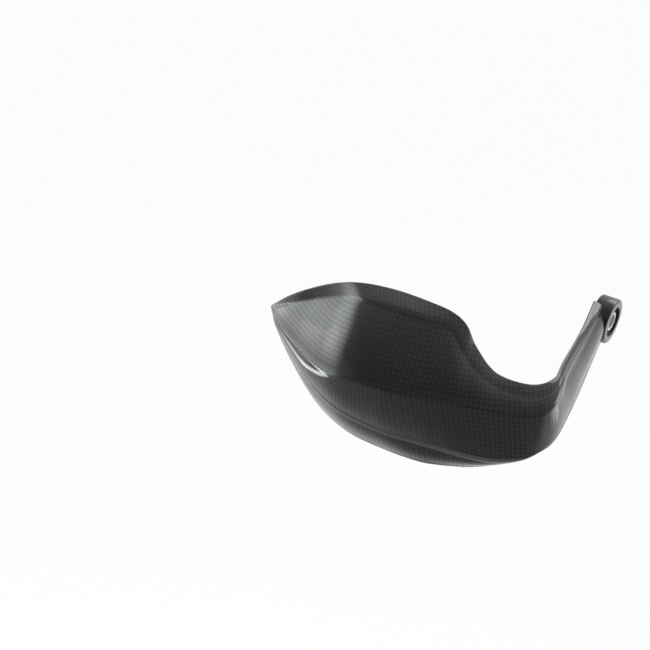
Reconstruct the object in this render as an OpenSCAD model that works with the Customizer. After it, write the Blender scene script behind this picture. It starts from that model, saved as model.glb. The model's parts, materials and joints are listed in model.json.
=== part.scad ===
// Motorcycle hand guard for the right-hand end of a handlebar, carbon-fibre shell with a bar-end eye.
// Axes: origin at the centre of the bush face that the bar end rests on, +X outward along the bar,
// +Y rearward to the rider, +Z up. Millimetres.

/* [Shell] */
// How far the inner tip lies from the bar end, along the bar
span = 252; // [225:1:275]
// How far the front crease stands ahead of the bar
reach = 226; // [205:1:240]
// Wall thickness of the shell moulding
wall = 2.2; // [1.6:0.1:2.6]
// How far the skirt steps out from the band above it
step_out = 3.2; // [1.5:0.1:4]
// Length of the rolled lip along the top rim
rim_lip = 4.2; // [3.6:0.1:5.5]
// Width of the arm channel's lower lip
arm_lip = 9; // [7:0.5:10]

/* [Eye] */
// Outer diameter of the round eye
eye_d = 40; // [38:0.5:41]
// Length of the eye along the bar
eye_len = 16.5; // [15.5:0.5:18]
// Depth of the eye's cup, from its rim to the bush face
cup_depth = 7; // [6:0.5:8]
// Wall thickness of the cup's ring
ring_t = 3.5; // [3:0.1:4]
// Thickness of the eye's web that holds the bush
web_t = 4; // [3:0.5:5]
// Thickness of the liner plate in the arm
plate_t = 2; // [1.5:0.1:2.5]

/* [Bush] */
// Diameter of the bush's flange
flange_d = 25; // [23:0.5:26]
// Thickness of the bush's flange
flange_t = 2.5; // [2:0.1:3]
// Outer diameter of the bush's barrel
barrel_d = 17; // [16:0.5:18]
// Hole through the bush
hole_d = 13; // [12:0.1:13.5]

/* [Hidden] */
$fn = 96;
eye_r = eye_d / 2;
cup_r = eye_r - ring_t;
face_x = eye_len - cup_depth;
web_x = flange_t + web_t;
recess_r = flange_d / 2 + 0.5;
barrel_x = web_x + 1.5;
glue = 0.25;
carbon = [0.17, 0.17, 0.18];
liner_grey = [0.21, 0.21, 0.22];
bush_grey = [0.80, 0.80, 0.82];

// Feature lines of the shell from the tip, round the front corner and back along the arm to the eye.
// Each has one point per station. The last stations follow the eye's height.
rim_line = [[-252, -134, -27], [-228, -145, -4], [-200, -153, 17], [-174, -160, 33],
    [-147, -167, 45], [-116, -170, 51], [-87, -171, 52], [-68, -170, 50],
    [-55, -169, 43], [-44, -168, 27], [-26, -164, 10], [-1, -153, 5],
    [10, -134, 7], [7, -104, 11], [1, -62, 14], [-8, -15, eye_r]];
bevel_line = [[-252, -135, -28.5], [-224, -148, -9], [-195, -157, 9], [-165, -168, 26],
    [-138, -181, 39], [-104, -187, 46], [-79, -184, 46], [-63, -178, 43],
    [-52, -179, 32], [-41, -176.5, 19], [-23, -170, 6], [2, -158, 1.5],
    [13.5, -138, 4.5], [10.5, -106, 8], [5, -65, 11.5], [-3, -14, eye_r - 1]];
crease_line = [[-252, -135, -30], [-234, -152, -29], [-198, -177, -28], [-164, -200, -24],
    [-131, -218, -14], [-97, -226, -5], [-72, -221, -4], [-57, -213, -5],
    [-46, -205, -7], [-35, -197, -9], [-16, -186, -11], [9, -170, -12],
    [21, -150, -7], [14, -114, 0], [8, -70, 6], [1, -12, eye_r - 3]];
step_line = [[-251, -135, -32], [-238, -145, -42], [-211, -166, -45], [-177, -189, -47],
    [-139, -204, -51], [-97, -206, -52], [-68, -200, -52], [-51, -195, -52],
    [-39, -191, -53], [-28, -186, -54], [-10, -178, -54], [13, -165, -50],
    [24, -147, -39], [22, -111, -29], [15, -68, -20], [7, -12, 7 - eye_r]];
foot_line = [[-251, -135, -34], [-233, -142, -48], [-203, -161, -64], [-169, -181, -73],
    [-133, -191, -79], [-95, -193, -79], [-67, -191, -78], [-52, -188, -76],
    [-40, -184, -74], [-28, -179, -72], [-12, -171, -67], [8, -161, -56],
    [23, -146, -45], [21, -108, -35], [15, -64, -26], [5, -12, 1 - eye_r]];
last = len(rim_line) - 1;

// Grid of the shell: stations along it, and points across it
nu = 90;
function scaled(p) = [p.x < -60 ? -60 + (p.x + 60) * (span - 60) / 192 : p.x,
    p.y < -eye_r ? -eye_r + (p.y + eye_r) * (reach - eye_r) / (226 - eye_r) : p.y, p.z];
// smooth curve through a line's points, u from 0 to last
function at(line, u) = let (
    i = min(floor(u), last - 1), t = u - i,
    b = scaled(line[i]), c = scaled(line[i + 1]),
    a = i > 0 ? scaled(line[i - 1]) : 2 * b - c,
    d = i + 2 <= last ? scaled(line[i + 2]) : 2 * c - b
) 0.5 * (2 * b + (c - a) * t + (2 * a - 5 * b + 4 * c - d) * t * t + (3 * b - a - 3 * c + d) * t * t * t);
function unit(v) = v / max(norm(v), 0.0001);
function ramp(a, b, x) = let (t = min(max((x - a) / (b - a), 0), 1)) t * t * (3 - 2 * t);
function mix(a, b, t) = a + (b - a) * t;
// rounded corner q between the neighbours a and b, as n + 1 points of a curve that cuts it by r
function corner(a, q, b, r, n) = let (
    ra = min(r, 0.4 * norm(a - q)), rb = min(r, 0.4 * norm(b - q)),
    s = q + ra * unit(a - q), e = q + rb * unit(b - q)
) [for (k = [0:n]) let (t = k / n) (1 - t) * (1 - t) * s + 2 * t * (1 - t) * q + t * t * e];
// n points inside a straight run, bulged by h along o
function run(s, e, n, h, o) = [for (k = [1:n]) let (t = k / (n + 1)) mix(s, e, t) + h * 4 * t * (1 - t) * o];

function along(u) = unit(at(crease_line, min(u + 0.05, last)) - at(crease_line, max(u - 0.05, 0)));
function outward(u) = unit(cross(along(u), [0, 0, 1]));
// walls and lips shrink towards the tip, where the two sides close up
function thinning(u) = mix(0.4, 1, ramp(0, 2, u));
// section at station u as a bent strip: lip, rim, bevel, crease, step, foot, lip
function strip(u) = let (
    out = outward(u), arm = ramp(11.5, 13, u), tip = thinning(u),
    p1 = at(rim_line, u), p2 = at(bevel_line, u), p6 = at(foot_line, u), d = unit(p2 - p1)
) [p1 + tip * rim_lip * unit(0.2 * d - unit(cross(d, along(u)))), p1, p2,
    at(crease_line, u), at(step_line, u), p6,
    p6 - tip * mix(rim_lip, arm_lip, arm) * unit([out.x, out.y, mix(0.5, 0, arm)])];
// the same strip moved inward by w, with mitred corners
function inset(p, w, t) = let (
    n = [for (k = [0:len(p) - 2]) unit(cross(p[k + 1] - p[k], t))]
) [for (k = [0:len(p) - 1]) let (a = n[max(k - 1, 0)], b = n[min(k, len(n) - 1)])
    p[k] - w * (a + b) / (1 + max(a * b, -0.3))];
// points across the shell, from the rim's lip to the foot's lip; thin takes the wall off the corners
function across(u, p, thin) = let (
    out = outward(u), t = along(u),
    w = step_out * ramp(0.8, 9, u) * (1 - ramp(10, 11.6, u)),
    p5 = p[4] + [w * out.x, w * out.y, -0.12 * w],
    belly = ramp(0, 1.2, u) * mix(4.5, 0.8, ramp(9, 12, u)),
    full = 0.3 * belly + 1.6 * ramp(11.5, 13, u) + 2.2 * ramp(13.6, 15, u),
    c1 = corner(p[0], p[1], p[2], max(2.6 - thin, 0.8), 2),
    // the upper creases are crisp at the tip, soften over the face, and the lower one sharpens on the arm
    c2 = corner(p[1], p[2], p[3], max(mix(1.6, 5, ramp(3.2, 5.5, u)) - thin, 0.8), 2),
    c3 = corner(p[2], p[3], p[4], max(mix(2, 5, ramp(3.5, 7, u) * (1 - ramp(8.5, 11, u))) - thin, 0.8), 3),
    c5 = corner(p[4], p5, p[5], 2.4, 2),
    c6 = corner(p5, p[5], p[6], max(2.6 - thin, 0.8), 2),
    e4 = p[4] + min(0.9, 0.2 * norm(p[3] - p[4])) * unit(p[3] - p[4])
) concat([p[0]], c1, c2,
    run(c2[2], c3[0], 5, min(belly, 0.06 * norm(c3[0] - c2[2])), unit(cross(p[3] - p[2], t))), c3,
    run(c3[3], e4, 5, full, unit(cross(p[4] - p[3], t))), [e4, mix(e4, p[4], 0.6)], c5,
    run(c5[2], c6[0], 2, 0.25 * belly, unit(cross(p[5] - p5, t))), c6, [p[6]]);

// the arm's last stretch runs up to the eye, and is scalloped to its curve
function eye_edge(z) = min(-13, -sqrt(max(pow(eye_r + glue, 2) - z * z, 0)));
function sheet_row(u, w) = across(u, w > 0 ? inset(strip(u), w, along(u)) : strip(u), w);
function sheet(w_of, end) = [for (i = [0:nu]) let (
    u = last * i / nu, row = sheet_row(u, w_of * thinning(u)), k = min(max(u - last + 1, 0), 1)
) [for (j = [0:len(row) - 1]) row[j] + [0, k * (eye_edge(end[j].z) - end[j].y), 0]]];
outer = sheet(0, sheet_row(last, 0));
inner = sheet(wall, sheet_row(last, wall));
nv = len(outer[0]) - 1;

function id(side, i, j) = side * (nu + 1) * (nv + 1) + i * (nv + 1) + j;
sheet_points = [for (s = [outer, inner]) for (row = s) for (p = row) p];
sheet_faces = concat(
    [for (i = [0:nu - 1]) for (j = [0:nv - 1]) each [
        [id(0, i, j), id(0, i + 1, j), id(0, i, j + 1)], [id(0, i + 1, j), id(0, i + 1, j + 1), id(0, i, j + 1)],
        [id(1, i, j), id(1, i, j + 1), id(1, i + 1, j)], [id(1, i + 1, j), id(1, i, j + 1), id(1, i + 1, j + 1)]]],
    [for (i = [0:nu - 1]) each [
        [id(0, i, 0), id(1, i, 0), id(0, i + 1, 0)], [id(1, i, 0), id(1, i + 1, 0), id(0, i + 1, 0)],
        [id(0, i, nv), id(0, i + 1, nv), id(1, i, nv)], [id(1, i, nv), id(0, i + 1, nv), id(1, i + 1, nv)]]],
    [for (j = [0:nv - 1]) each [
        [id(0, 0, j), id(0, 0, j + 1), id(1, 0, j)], [id(1, 0, j), id(0, 0, j + 1), id(1, 0, j + 1)],
        [id(0, nu, j), id(1, nu, j), id(0, nu, j + 1)], [id(1, nu, j), id(1, nu, j + 1), id(0, nu, j + 1)]]]);

module shell() { color(carbon) polyhedron(points = sheet_points, faces = sheet_faces, convexity = 8); }

// Liner plate: at each station a bar between the channel's top strip and its lower lip
np = 10;
function plate_at(u) = let (
    out = outward(u), q = inset(strip(u), wall, along(u)), v = q[3] - q[2],
    slope = min(max(-v.z / max(v * out, 0.1), 0.2), 2),
    top = q[1] - [0, 0, glue + 1.5] - 0.6 * out,
    low = at(foot_line, u) - (arm_lip - 2.5) * out + [0, 0, wall + glue]
) [top, top + plate_t * out - [0, 0, slope * plate_t], low + plate_t * out, low];
function eased(p) = [p.x + 1.2, -10, p.z];
plate_rows = concat([for (i = [0:np]) plate_at(12.3 + (last - 12.3) * i / np)],
    [[for (p = plate_at(last)) eased(p)]]);
plate_points = [for (r = plate_rows) for (p = r) p];
plate_faces = concat([[0, 1, 2], [0, 2, 3]],
    [for (i = [0:np]) for (k = [0:3]) let (a = 4 * i + k, b = 4 * i + (k + 1) % 4) each [
        [a, a + 4, b], [b, a + 4, b + 4]]],
    [let (a = 4 * (np + 1)) each [[a, a + 2, a + 1], [a, a + 3, a + 2]]]);

// lays a profile of radius and height round the bar's axis
module about_bar() { rotate([0, 90, 0]) rotate_extrude() children(); }
// quarter round of radius r about c, from angle a to b
function arc(c, r, a, b) = [for (k = [0:4]) let (t = a + (b - a) * k / 4) c + r * [cos(t), sin(t)]];

module eye_solid() {
    about_bar() polygon(concat(
        [[0, flange_t - cup_depth], [cup_r - 1, -cup_depth]],
        arc([eye_r - 1.5, 1.5 - cup_depth], 1.5, -90, 0),
        arc([eye_r - 2, face_x - 2], 2, 0, 90),
        [[0, face_x]]));
}
module cup_space() {
    about_bar() polygon([[0, -cup_depth - 1], [cup_r + 1, -cup_depth - 1], [cup_r + 0.6, -cup_depth],
        [cup_r, 0.6 - cup_depth], [cup_r, -3.5], [flange_d / 2 + 0.7, -0.5],
        [flange_d / 2 + 0.7, flange_t], [0, flange_t]]);
    translate([-cup_depth - 30, 0, 0]) rotate([0, 90, 0]) cylinder(r = cup_r + 0.6, h = 30);
}
module arm_liner() {
    color(liner_grey) difference() {
        union() {
            eye_solid();
            polyhedron(points = plate_points, faces = plate_faces);
        }
        cup_space();
        // recess in the outer face
        about_bar() polygon([[0, web_x], [recess_r, web_x], [recess_r, face_x - 0.8],
            [recess_r + 0.8, face_x], [recess_r + 0.8, face_x + 1], [0, face_x + 1]]);
        // hole in the web for the bush
        rotate([0, 90, 0]) cylinder(d = barrel_d, h = face_x);
    }
}

module bar_end_bush() {
    e = min(0.5, (barrel_d - hole_d) / 8);
    color(bush_grey) about_bar() polygon([
        [hole_d / 2, 0], [flange_d / 2 - 0.5, 0], [flange_d / 2, 0.5],
        [flange_d / 2, flange_t], [barrel_d / 2, flange_t], [barrel_d / 2, barrel_x - e],
        [barrel_d / 2 - e, barrel_x], [hole_d / 2 + e, barrel_x], [hole_d / 2, barrel_x - e]]);
}

shell();
arm_liner();
bar_end_bush();
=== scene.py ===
import json
import math
import bmesh
import bpy
import numpy as np
from mathutils import Matrix, Vector

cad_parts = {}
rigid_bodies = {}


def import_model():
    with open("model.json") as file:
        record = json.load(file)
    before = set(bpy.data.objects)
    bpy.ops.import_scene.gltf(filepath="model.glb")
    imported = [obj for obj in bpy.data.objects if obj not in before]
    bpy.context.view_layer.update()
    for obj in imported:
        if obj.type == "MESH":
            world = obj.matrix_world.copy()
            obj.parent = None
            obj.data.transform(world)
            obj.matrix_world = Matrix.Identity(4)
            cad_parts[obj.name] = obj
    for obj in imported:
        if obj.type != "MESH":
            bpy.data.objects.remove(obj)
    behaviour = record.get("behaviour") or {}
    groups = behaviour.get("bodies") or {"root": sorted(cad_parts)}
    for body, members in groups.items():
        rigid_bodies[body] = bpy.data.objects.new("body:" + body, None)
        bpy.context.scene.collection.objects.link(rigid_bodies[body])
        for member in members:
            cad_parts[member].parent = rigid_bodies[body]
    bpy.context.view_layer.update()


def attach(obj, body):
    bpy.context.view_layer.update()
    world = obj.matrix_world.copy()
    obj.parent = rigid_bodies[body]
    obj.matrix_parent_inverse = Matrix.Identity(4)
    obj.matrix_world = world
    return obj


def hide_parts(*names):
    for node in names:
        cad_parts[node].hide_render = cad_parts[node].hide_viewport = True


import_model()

# ---- shell -----------------------------------------------------------------------------------
# The outer moulding: face, stepped skirt and arm in one piece of carbon cloth and resin, laid up in
# a mould. Its form runs through five feature lines, with creases and rolled lips at both edges.
RIM = [[-252, -134, -27], [-228, -145, -4], [-200, -153, 17], [-174, -160, 33], [-147, -167, 45],
       [-116, -170, 51], [-87, -171, 52], [-68, -170, 50], [-55, -169, 43], [-44, -168, 27],
       [-26, -164, 10], [-1, -153, 5], [10, -134, 7], [7, -104, 11], [1, -62, 14], [-8, -15, 20]]
BEVEL = [[-252, -135, -28.5], [-224, -148, -9], [-195, -157, 9], [-165, -168, 26], [-138, -181, 39],
         [-104, -187, 46], [-79, -184, 46], [-63, -178, 43], [-52, -179, 32], [-41, -176.5, 19],
         [-23, -170, 6], [2, -158, 1.5], [13.5, -138, 4.5], [10.5, -106, 8], [5, -65, 11.5], [-3, -14, 19]]
CREASE = [[-252, -135, -30], [-234, -152, -29], [-198, -177, -28], [-164, -200, -24],
          [-131, -218, -14], [-97, -226, -5], [-72, -221, -4], [-57, -213, -5], [-46, -205, -7],
          [-35, -197, -9], [-16, -186, -11], [9, -170, -12], [21, -150, -7], [14, -114, 0],
          [8, -70, 6], [1, -12, 17]]
STEP = [[-251, -135, -32], [-238, -145, -42], [-211, -166, -45], [-177, -189, -47],
        [-139, -204, -51], [-97, -206, -52], [-68, -200, -52], [-51, -195, -52], [-39, -191, -53],
        [-28, -186, -54], [-10, -178, -54], [13, -165, -50], [24, -147, -39], [22, -111, -29],
        [15, -68, -20], [7, -12, -13]]
FOOT = [[-251, -135, -34], [-233, -142, -48], [-203, -161, -64], [-169, -181, -73],
        [-133, -191, -79], [-95, -193, -79], [-67, -191, -78], [-52, -188, -76], [-40, -184, -74],
        [-28, -179, -72], [-12, -171, -67], [8, -161, -56], [23, -146, -45], [21, -108, -35],
        [15, -64, -26], [5, -12, -19]]
# The lines and sizes are in millimetres. A station counts along the lines' points, from the tip at 0
# to the eye at 15, and the first two numbers in ramp() are stations.
EYE_END = 15.0
ARM_STARTS = 11.5, 13
WALL = 2.2
LIP, ARM_FOOT_LIP = 4.2, 9
TIP_SHARE = 0.16
LEDGE, BAND = 3.2, 0.85
RIM_ROUND, STEP_ROUND, BAND_ROUND, FOOT_ROUND = 1.4, 1.0, 1.2, 2.6
EYE_ROUND, ARM_END = 20.25, -13


def ramp(a, b, x):
    """0 before station a, 1 after station b, smooth between, as a column."""
    t = np.clip((x - a) / (b - a), 0, 1)
    return (t * t * (3 - 2 * t))[..., None]


def unit(v):
    return v / np.maximum(np.linalg.norm(v, axis=-1, keepdims=True), 1e-6)


def size(v):
    return np.linalg.norm(v, axis=-1, keepdims=True)


def at(line, u):
    """Smooth curve through a feature line's points, at stations u."""
    p = np.array(line, float)
    p = np.vstack([2 * p[0] - p[1], p, 2 * p[-1] - p[-2]])
    i = np.minimum(np.floor(u).astype(int), int(EYE_END) - 1)
    t = (u - i)[..., None]
    a, b, c, d = p[i], p[i + 1], p[i + 2], p[i + 3]
    square, cube = 2 * a - 5 * b + 4 * c - d, 3 * b - a - 3 * c + d
    return 0.5 * (2 * b + (c - a) * t + square * t**2 + cube * t**3)


def along(u):
    """The way the main crease runs."""
    return unit(at(CREASE, np.minimum(u + 0.05, EYE_END)) - at(CREASE, np.maximum(u - 0.05, 0)))


def outward(u):
    """Level, and square to the main crease, away from the rider's hand."""
    return unit(np.cross(along(u), [0, 0, 1]))


def thinning(u):
    """Walls and lips shrink towards the tip, where the two sides close up."""
    return TIP_SHARE + (1 - TIP_SHARE) * ramp(-0.4, 2, u)


def strip(u):
    """The section at each station as a bent strip: lip, rim, bevel, crease, step, foot, lip."""
    out, arm, tip = outward(u), ramp(*ARM_STARTS, u), thinning(u)
    rim, bevel, foot = at(RIM, u), at(BEVEL, u), at(FOOT, u)
    down = unit(bevel - rim)
    rim_lip = rim + tip * LIP * unit(0.2 * down - unit(np.cross(down, along(u))))
    inward = unit(np.concatenate([out[:, :2], 0.5 - 0.5 * arm], 1))
    foot_lip = foot - tip * (LIP + (ARM_FOOT_LIP - LIP) * arm) * inward
    return [rim_lip, rim, bevel, at(CREASE, u), at(STEP, u), foot, foot_lip]


def inset(lines, depth, t):
    """The strip's lines moved inwards, so that each of its faces moves by the same depth."""
    n = [unit(np.cross(b - a, t)) for a, b in zip(lines, lines[1:])]
    moved = []
    for k, line in enumerate(lines):
        a, b = n[max(k - 1, 0)], n[min(k, len(n) - 1)]
        moved.append(line - depth * (a + b) / (1 + np.maximum((a * b).sum(-1, keepdims=True), -0.3)))
    return moved


def corner(a, q, b, radius, n):
    """A rounding at q between the faces towards a and b, in n steps."""
    ra, rb = np.minimum(radius, 0.4 * size(a - q)), np.minimum(radius, 0.4 * size(b - q))
    s, e = q + ra * unit(a - q), q + rb * unit(b - q)
    return [(1 - t)**2 * s + 2 * t * (1 - t) * q + t * t * e for t in np.linspace(0, 1, n + 1)]


def between(s, e, n, height, out):
    """n points from s to e, crowned by a height."""
    return [s + (e - s) * t + height * 4 * t * (1 - t) * out for t in np.arange(1, n + 1) / (n + 1)]


def across(u, lines, thin):
    """Points from the rim's lip down to the foot's lip, with the wall taken off the roundings."""
    rim_lip, rim, bevel, crease, step, foot, foot_lip = lines
    out, t = outward(u), along(u)
    # the step is a ledge that stands out from its line, falls a little, and ends in an upright band
    reach = LEDGE * ramp(0.8, 9, u) * (1 - ramp(10, 11.6, u))
    edge = step + np.concatenate([reach * out[:, :2], -0.12 * reach], 1)
    band = edge - np.concatenate([0 * reach, 0 * reach, BAND * reach], 1)
    root = step + 0.93 * (edge - step)
    root_start = root + np.minimum(0.9, 0.2 * size(crease - root)) * unit(crease - root)
    # the upper creases are crisp at the tip, soften over the face, and the lower one sharpens on the arm
    bevel_round = np.maximum(1.6 + 3.4 * ramp(3.2, 5.5, u) - thin, 0.8)
    crease_round = np.maximum(2 + 3 * ramp(3.5, 7, u) * (1 - ramp(8.5, 11, u)) - thin, 0.8)
    c_rim = corner(rim_lip, rim, bevel, max(RIM_ROUND - thin, 0.6), 6)
    c_bevel = corner(rim, bevel, crease, bevel_round, 6)
    c_crease = corner(bevel, crease, root, crease_round, 8)
    c_step = corner(root_start, root, edge, 0.3, 2)
    c_edge, c_band = corner(root, edge, band, STEP_ROUND, 3), corner(edge, band, foot, BAND_ROUND, 3)
    c_foot = corner(band, foot, foot_lip, max(FOOT_ROUND - thin, 0.8), 6)
    band_end = c_band[-1] + 0.5 * unit(c_foot[0] - c_band[-1])
    # how far the face, the shoulder and the skirt are crowned
    belly = ramp(0, 1.2, u) * (4.5 + (0.8 - 4.5) * ramp(9, 12, u))
    face = np.minimum(belly, 0.06 * size(c_crease[0] - c_bevel[-1]))
    full = 0.3 * belly + 1.6 * ramp(*ARM_STARTS, u) + 2.2 * ramp(13.6, EYE_END, u)
    row = [rim_lip] + c_rim + c_bevel
    row += between(c_bevel[-1], c_crease[0], 22, face, unit(np.cross(crease - bevel, t))) + c_crease
    row += between(c_crease[-1], root_start, 12, full, unit(np.cross(root - crease, t))) + [root_start]
    row += c_step + c_edge + c_band + [band_end]
    row += between(band_end, c_foot[0], 8, 0.25 * belly, unit(np.cross(foot - edge, t)))
    return np.stack(row + c_foot + [foot_lip], 1)


def sheet(wall):
    """The stations and points of one skin, whose end follows the eye's round."""
    u = np.concatenate([np.linspace(0, 2, 60)[:-1], np.linspace(2, 12.5, 170)[:-1],
                        np.linspace(12.5, EYE_END, 60)])
    lines = strip(u)
    if wall:
        lines = inset(lines, wall * thinning(u), along(u))
    row = across(u, lines, wall)
    end = row[-1]
    stop = np.minimum(ARM_END, -np.sqrt(np.maximum(EYE_ROUND**2 - end[:, 2]**2, 0)))
    row[:, :, 1] += np.clip(u - EYE_END + 1, 0, 1)[:, None] * (stop - end[:, 1])
    return u, row


def edge_round(a, b, toward, n=5):
    """Rounded edge from the skin a to the skin b, bulging away from the sheet."""
    mid, half = (a + b) / 2, (a - b) / 2
    bulge = unit(toward - (toward * unit(half)).sum(-1, keepdims=True) * unit(half)) * size(half)
    turns = np.linspace(0, math.pi, n + 2)[1:-1]
    return [mid + math.cos(t) * half + 0.55 * math.sin(t) * bulge for t in turns]


stations, front = sheet(0.0)
_, back = sheet(WALL)
top_edge = edge_round(back[:, 0], front[:, 0], front[:, 0] - front[:, 1])
low_edge = edge_round(front[:, -1], back[:, -1], front[:, -1] - front[:, -2])
loop = np.concatenate([front, np.stack(low_edge, 1), back[:, ::-1], np.stack(top_edge, 1)], 1)
rows, cols = loop.shape[:2]
n_skin, n_low, n_top = front.shape[1], len(low_edge), len(top_edge)
# cloth coordinates: millimetres along the piece, mostly as the main crease runs, and across from it
crease_column, middle_row = slice(45, 46), int(np.searchsorted(stations, 6.0))
lengths = np.vstack([np.zeros((1, cols)), np.cumsum(size(np.diff(loop, axis=0))[..., 0], 0)])
lengths -= lengths[middle_row]
lengths = 0.25 * lengths + 0.75 * lengths[:, crease_column]
widths = np.hstack([np.zeros((rows, 1)), np.cumsum(size(np.diff(loop, axis=1))[..., 0], 1)])
widths -= widths[:, crease_column]
inside = np.zeros((rows, cols))
inside[:, n_skin + n_low - 1:cols - n_top + 1] = 1.0
# the step's edge is painted light grey with no cloth: a painted highlight along the step
step_columns = slice(59, 70)
painted_step_highlight = np.zeros((rows, cols))
painted_step_highlight[:, step_columns] = ramp(0.3, 1.2, stations) * (1 - ramp(11, 12, stations))

faces = [(i * cols + (j + 1) % cols, i * cols + j, (i + 1) * cols + j, (i + 1) * cols + (j + 1) % cols)
         for i in range(rows - 1) for j in range(cols)]
# both ends are closed between the two skins, and round the lips
for row in (0, rows - 1):
    r = [row * cols + k for k in range(cols)]
    far = [r[2 * n_skin + n_low - 1 - k] for k in range(n_skin)]
    faces += [(r[k], r[k + 1], far[k + 1], far[k]) for k in range(n_skin - 1)]
    faces += [tuple(r[n_skin - 1:n_skin + n_low + 1]), tuple(r[2 * n_skin + n_low - 1:] + r[:1])]
shell_mesh = bpy.data.meshes.new("shell_skin")
shell_mesh.from_pydata((loop.reshape(-1, 3) * 0.001).tolist(), [], faces)
cloth = shell_mesh.uv_layers.new(name="cloth")
index = np.empty(len(shell_mesh.loops), dtype=np.int64)
shell_mesh.loops.foreach_get("vertex_index", index)
flat = np.stack([lengths, widths], -1).reshape(-1, 2)[index]
cloth.data.foreach_set("uv", flat.astype(np.float32).ravel())
for name, share in (("inside", inside), ("painted_step_highlight", painted_step_highlight)):
    values = shell_mesh.attributes.new(name, "FLOAT", "POINT").data
    values.foreach_set("value", share.ravel().astype(np.float32))


def merge_and_smooth(mesh, sharp_degrees):
    """Merges points that meet, turns the faces outwards and shades smooth up to an angle."""
    bm = bmesh.new()
    bm.from_mesh(mesh)
    bmesh.ops.remove_doubles(bm, verts=bm.verts, dist=4e-6)
    bmesh.ops.dissolve_degenerate(bm, edges=bm.edges, dist=2e-6)
    bmesh.ops.recalc_face_normals(bm, faces=bm.faces)
    bm.to_mesh(mesh)
    bm.free()
    mesh.shade_smooth()
    mesh.set_sharp_from_angle(angle=math.radians(sharp_degrees))


# the step runs out at the tip and on the arm, where its points meet and are merged
merge_and_smooth(shell_mesh, sharp_degrees=50)


class Wire:
    """A shader socket that works in an expression like a number."""

    def __init__(self, tree, socket=None):
        self.tree, self.socket = tree, socket

    def node(self, kind, settings=None, out=0, **sockets):
        """Adds a node: its settings, then its sockets, as Name=value or by number as i0=value."""
        made = self.tree.nodes.new("ShaderNode" + kind)
        for key, value in (settings or {}).items():
            setattr(made, key, value)
        for key, value in sockets.items():
            numbered = key[0] == "i" and key[1:].isdigit()
            self.feed(made.inputs[int(key[1:]) if numbered else key.replace("_", " ")], value)
        return Wire(self.tree, made.outputs[out])

    def feed(self, socket, value):
        if isinstance(value, Wire):
            self.tree.links.new(value.socket, socket)
        else:
            socket.default_value = value

    def math(self, operation, first, second=0.0):
        """A Math node on two values."""
        return self.node("Math", {"operation": operation}, i0=first, i1=second)

    def __add__(self, other):
        return self.math("ADD", self, other)

    def __sub__(self, other):
        return self.math("SUBTRACT", self, other)

    def __rsub__(self, other):
        return self.math("SUBTRACT", other, self)

    def __mul__(self, other):
        return self.math("MULTIPLY", self, other)

    def __truediv__(self, other):
        return self.math("DIVIDE", self, other)

    def __rtruediv__(self, other):
        return self.math("DIVIDE", other, self)

    __radd__ = __add__
    __rmul__ = __mul__

    def __abs__(self):
        return self.math("ABSOLUTE", self)

    def sin(self):
        return self.math("SINE", self)

    def frac(self):
        return self.math("FRACT", self)

    def floor(self):
        return self.math("FLOOR", self)

    def step(self, low, high):
        """0 below low, 1 above high, smooth between."""
        return self.node("MapRange", {"interpolation_type": "SMOOTHSTEP"}, Value=self, From_Min=low,
                         From_Max=high)

    def parts(self):
        """The x, y and z of a vector."""
        split = self.node("SeparateXYZ", i0=self).socket.node
        return [Wire(self.tree, socket) for socket in split.outputs]

    def pick(self, a, b):
        """Colour a where this is 0, colour b where it is 1."""
        a, b = ((*c, 1.0) if isinstance(c, tuple) else c for c in (a, b))
        return self.node("Mix", {"data_type": "RGBA"}, out=2, i0=self, i6=a, i7=b)


def material(name):
    """A new node material, its principled node, and a wire that starts others."""
    made = bpy.data.materials.new(name)
    made.use_nodes = True
    return made, made.node_tree.nodes["Principled BSDF"], Wire(made.node_tree)


def plug(wire, principled, **inputs):
    """Feeds a principled node's inputs by name."""
    for key, value in inputs.items():
        wire.feed(principled.inputs[key.replace("_", " ")], value)


# Plain weave laid on the bias, so the crowns of its tows make a square grid of dots along the piece.
# The outer side lies under clear lacquer; the inner side is bare resin, duller and rougher.
DOT, FIBRES = 4.0, 75.0
TOW_GAP, TOW_CROWN = (0.0175, 0.0178, 0.0186), (0.0365, 0.0373, 0.0389)
# light grey painted on the step's edge: a painted highlight, not a colour of the carbon
PAINTED_HIGHLIGHT_GREY = (0.17, 0.173, 0.178)
lacquered_carbon, shader, wire = material("lacquered_carbon")
u, v, _ = wire.node("UVMap", {"uv_map": "cloth"}).parts()
where = wire.node("TexCoord", out="Object")
drift = wire.node("TexNoise", Vector=where, Scale=30.0, Detail=2.0)
u = u + (drift - 0.5) * 1.2
a, b = (u + v) / DOT, (u - v) / DOT
middle_a = 1.0 - abs(a.frac() - 0.5) * 2.0
middle_b = 1.0 - abs(b.frac() - 0.5) * 2.0
over = ((a.floor() + b.floor()) / 2.0).frac() * 2.0
crown = middle_a.step(-0.25, 0.45) * middle_b.step(-0.25, 0.45)
fibre = over.node("Mix", i0=over, i2=(a * FIBRES).sin(), i3=(b * FIBRES).sin())
tone = crown * (over * 0.66 + 0.22) + fibre * crown * 0.05 + drift * 0.12
inner = wire.node("Attribute", {"attribute_name": "inside"}, out="Fac")
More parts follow.
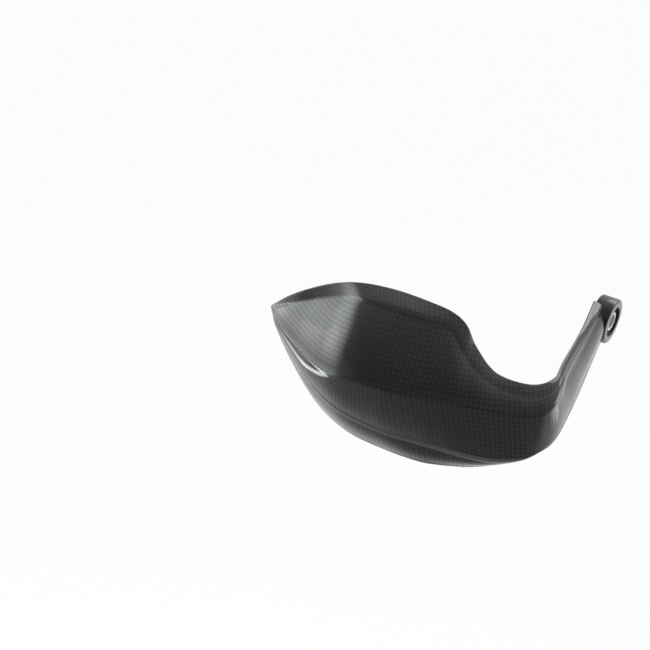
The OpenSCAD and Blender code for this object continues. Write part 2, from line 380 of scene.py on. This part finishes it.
# where the step's edge carries the painted highlight grey, the weave's dots and their relief give way
highlight_share = wire.node("Attribute", {"attribute_name": "painted_step_highlight"}, out="Fac")
grain = wire.node("TexNoise", Vector=where, Scale=700.0, Detail=3.0)
dots = crown * (1.0 - highlight_share)
relief = dots * (over * 0.5 + 0.5) + inner * grain * 0.6
plug(wire, shader, Base_Color=highlight_share.pick(tone.pick(TOW_GAP, TOW_CROWN), PAINTED_HIGHLIGHT_GREY),
     Roughness=0.46 - over * crown * 0.14 + inner * (grain * 0.2 - 0.06), Specular_IOR_Level=0.1,
     Coat_Weight=0.79 + dots * over * 0.21 - inner * 0.65, Coat_Roughness=0.05, Coat_IOR=1.5,
     Normal=wire.node("Bump", Strength=0.35, Distance=0.0002, Height=relief))
shell_mesh.materials.append(lacquered_carbon)

shell_skin = bpy.data.objects.new("shell_skin", shell_mesh)
bpy.context.scene.collection.objects.link(shell_skin)
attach(shell_skin, "root")
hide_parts("shell")

# ---- arm liner and eye -----------------------------------------------------------------------
# The inner moulding bonded into the arm: a flat plate that ends in the round eye. It is the same
# carbon and resin, moulded in satin black.
liner_black, shader, wire = material("liner_black")
where = wire.node("TexCoord", out="Object")
grain = wire.node("TexNoise", Vector=where, Scale=900.0, Detail=3.0)
cloud = wire.node("TexNoise", Vector=where, Scale=60.0, Detail=2.0)
SATIN_DARK, SATIN_LIGHT = (0.0075, 0.0077, 0.0082), (0.013, 0.0132, 0.014)
plug(wire, shader, Base_Color=cloud.pick(SATIN_DARK, SATIN_LIGHT),
     Roughness=grain * 0.12 + cloud * 0.08 + 0.26, Coat_Weight=0.7, Coat_Roughness=0.08, Coat_IOR=1.4,
     Specular_IOR_Level=0.4, Normal=wire.node("Bump", Strength=0.08, Distance=0.0001, Height=grain))


def cad_piece(node):
    """The object of a CAD node."""
    return next(o for o in bpy.data.objects if o.name == node or o.get("node") == node)


# the node's own form, with its points merged and its bent plate shaded smooth
plain_liner = cad_piece("arm_liner")
liner_mesh = plain_liner.data.copy()
liner_mesh.name = "liner_skin"
liner_mesh.transform(plain_liner.matrix_world)
if "custom_normal" in liner_mesh.attributes:
    liner_mesh.attributes.remove(liner_mesh.attributes["custom_normal"])
merge_and_smooth(liner_mesh, sharp_degrees=32)
liner_mesh.materials.clear()
liner_mesh.materials.append(liner_black)

liner_skin = bpy.data.objects.new("liner_skin", liner_mesh)
bpy.context.scene.collection.objects.link(liner_skin)
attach(liner_skin, "root")
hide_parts("arm_liner")

# ---- bar-end bush ----------------------------------------------------------------------------
# Flanged bush pressed into the eye's web, where the bar-end bolt passes. Light grey anodised
# aluminium, with fine turning marks round its bore.
turned_aluminium, shader, wire = material("turned_aluminium")
where = wire.node("TexCoord", out="Object")
x, y, z = where.parts()
TURNING_MARKS = 26000.0
rings = (wire.math("SQRT", y * y + z * z) * TURNING_MARKS).sin() * 0.5 + 0.5
cloud = wire.node("TexNoise", Vector=where, Scale=200.0, Detail=2.0)
GREY_DARK, GREY_LIGHT = (0.60, 0.60, 0.62), (0.72, 0.72, 0.73)
plug(wire, shader, Base_Color=cloud.pick(GREY_DARK, GREY_LIGHT), Metallic=0.85,
     Roughness=cloud * 0.1 + 0.34, Normal=wire.node("Bump", Strength=0.05, Distance=0.00005, Height=rings))
bush = cad_piece("bar_end_bush")
bush.data.materials.clear()
bush.data.materials.append(turned_aluminium)

# ---- floor, world and lamps ------------------------------------------------------------------
# A pale floor well below the part, which hangs free as on its handlebar. It is painted grey towards
# the front, a painted shade below the part where the lower faces reflect it. A soft sky, a broad sun
# from behind, a softbox on either side, and a low strip on the left for the glint on the main crease.
floor_mesh = bpy.data.meshes.new("floor")
FLOOR_LEVEL, FLOOR_HALF = -1.0, 30
floor_corners = [(x * FLOOR_HALF, y * FLOOR_HALF, FLOOR_LEVEL)
                 for x, y in ((-1, -1), (1, -1), (1, 1), (-1, 1))]
floor_mesh.from_pydata(floor_corners, [], [(0, 1, 2, 3)])
floor = bpy.data.objects.new("floor", floor_mesh)
bpy.context.scene.collection.objects.link(floor)
floor_white, shader, wire = material("floor_white")
_, depth, _ = wire.node("TexCoord", out="Object").parts()
# grey painted on the floor's front: a painted shade that the lower faces reflect
PAINTED_SHADE_GREY, WHITE = (0.36, 0.36, 0.37), (1.0, 1.0, 1.0)
floor_with_painted_shade = depth.step(-0.45, 0.1).pick(PAINTED_SHADE_GREY, WHITE)
plug(wire, shader, Base_Color=floor_with_painted_shade, Roughness=0.9, Specular_IOR_Level=0.0)
path = wire.node("LightPath").socket.node.outputs
kinds = "Is Camera Ray", "Is Glossy Ray", "Is Transmission Ray"
seen = sum(Wire(wire.tree, path[kind]) for kind in kinds)
GLOW_SHARE = 0.8
glow = wire.node("Emission", Color=floor_with_painted_shade, Strength=1.0)
both = wire.node("MixShader", i0=seen.math("MINIMUM", seen, 1.0) * GLOW_SHARE,
                 i1=Wire(wire.tree, shader.outputs[0]), i2=glow)
wire.feed(wire.tree.nodes["Material Output"].inputs["Surface"], both)
floor_mesh.materials.append(floor_white)

world = bpy.data.worlds.new("studio")
bpy.context.scene.world = world
world.use_nodes = True
sky = world.node_tree.nodes["Background"]
sky.inputs["Color"].default_value = (1, 1, 1, 1)
wire = Wire(world.node_tree)
_, ahead, above = wire.node("TexCoord", out="Generated").parts()
wire.feed(sky.inputs["Strength"], ahead.step(-0.6, 0.7) * 0.55 + above.step(0.0, 0.9) * 0.2 + 0.15)


def shine(name, kind, where, target, **settings):
    """A lamp of one kind, put in a place and turned to a target."""
    data = bpy.data.lights.new(name, kind)
    for key, value in settings.items():
        setattr(data, key, value)
    made = bpy.data.objects.new(name, data)
    bpy.context.scene.collection.objects.link(made)
    aim = Vector(target) - Vector(where)
    made.matrix_world = Matrix.Translation(where) @ aim.to_track_quat("-Z", "Y").to_matrix().to_4x4()
    made.visible_camera = False
    return data


DAYLIGHT = (0.93, 0.97, 1.0)


def softbox(name, where, target, width, height, radiance, soft):
    """An area lamp of a given radiance, whose brightness fades over the share soft at its edges."""
    data = shine(name, "AREA", where, target, shape="RECTANGLE", size=width, size_y=height,
                 energy=radiance * math.pi * width * height, color=DAYLIGHT)
    data.use_nodes = True
    wire = Wire(data.node_tree)
    s, t, _ = wire.node("NewGeometry", out="Parametric").parts()
    fade = s.step(0.0, soft) * (1.0 - s).step(0.0, soft) * t.step(0.0, soft) * (1.0 - t).step(0.0, soft)
    wire.feed(data.node_tree.nodes["Emission"].inputs["Strength"], fade)


softbox("left_box", (-1.40, -0.07, -0.03), (-0.20, -0.15, -0.02), width=1.1, height=1.0, radiance=2.4,
        soft=0.4)
softbox("left_low_strip", (-1.07, -0.18, -0.53), (-0.22, -0.18, 0.0), width=0.5, height=0.17, radiance=6.0,
        soft=0.35)
softbox("right_box", (0.86, 0.62, -0.10), (0.01, -0.08, 0.0), width=0.85, height=1.1, radiance=2.2,
        soft=0.2)
shine("high_sun", "SUN", (0.15, 0.85, 0.86), (0, 0, 0), energy=1.3, angle=math.radians(40))

# ---- camera ----------------------------------------------------------------------------------
# From the front and a little above, off the bar's end, as the photograph was taken.
# The lens is as long as 1250 pixels of a picture 650 wide.
SENSOR, FOCAL_PIXELS, PICTURE_WIDTH = 36.0, 1250, 650
data = bpy.data.cameras.new("camera")
data.lens, data.sensor_width = SENSOR * FOCAL_PIXELS / PICTURE_WIDTH, SENSOR
camera = bpy.data.objects.new("camera", data)
bpy.context.scene.collection.objects.link(camera)
stand = (0.2566, -0.9546, 0.4880)
right, up = Vector((0.8417, 0.5299, 0.1033)), Vector((-0.3342, 0.3611, 0.8705))
turn = Matrix((right, up, right.cross(up).normalized())).transposed().to_4x4()
camera.matrix_world = Matrix.Translation(stand) @ turn
bpy.context.scene.camera = camera
bpy.context.scene.view_settings.view_transform = "Standard"
